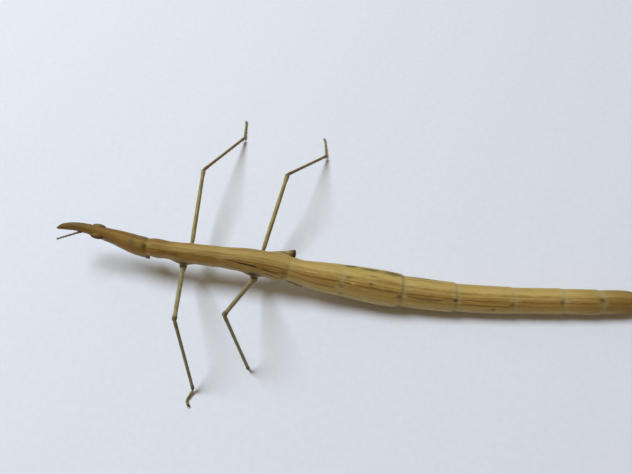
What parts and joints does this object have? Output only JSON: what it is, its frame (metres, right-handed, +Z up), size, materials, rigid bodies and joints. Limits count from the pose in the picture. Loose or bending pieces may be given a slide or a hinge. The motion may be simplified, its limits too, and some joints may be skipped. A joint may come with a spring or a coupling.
{
  "type": "stick grasshopper",
  "caption": "Still, life-size stick grasshopper, twig-thin and straw-coloured, with pointed head, slender fore and mid legs and healed stumps where the hind legs were",
  "frame": {"origin": "middle of the overall box, on the floor the insect rests on", "axes": "+X from head to tail, +Y to the animal's right, +Z up"},
  "size_m": [0.0812, 0.0446, 0.0114],
  "materials": {
    "cuticle": "semi-matt straw and tan cuticle with brown lengthwise fibres, grey-green rings at the joints",
    "legs": "semi-matt olive-tan cuticle, darker at the knees and feet",
    "dark_cuticle": "dark brown horny cuticle, semi-matt",
    "eyes": "glossy compound eyes, yellow-brown above and dark brown below"
  },
  "bodies": {
    "root": {"head": "cuticle", "pronotum": "cuticle", "mesothorax": "cuticle", "metathorax": "cuticle", "abdomen_2": "cuticle", "abdomen_3": "cuticle", "abdomen_4": "cuticle", "abdomen_5": "cuticle", "abdomen_6": "cuticle", "abdomen_7": "cuticle", "abdomen_8": "cuticle", "abdomen_tip": "cuticle", "mouthparts": "dark_cuticle", "eye_left": "eyes", "eye_right": "eyes", "antenna_left": "dark_cuticle", "antenna_right": "dark_cuticle", "fore_left_coxa": "legs", "fore_left_femur": "legs", "fore_left_tibia": "legs", "fore_left_tarsus": "legs", "fore_right_coxa": "legs", "fore_right_femur": "legs", "fore_right_tibia": "legs", "fore_right_tarsus": "legs", "mid_left_coxa": "legs", "mid_left_femur": "legs", "mid_left_tibia": "legs", "mid_left_tarsus": "legs", "mid_right_coxa": "legs", "mid_right_femur": "legs", "mid_right_tibia": "legs", "mid_right_tarsus": "legs", "hind_stump_left": "dark_cuticle", "hind_stump_right": "dark_cuticle", "ovipositor_upper": "dark_cuticle", "ovipositor_lower": "dark_cuticle", "cercus_left": "cuticle", "cercus_right": "cuticle"}
  },
  "joints": []
}
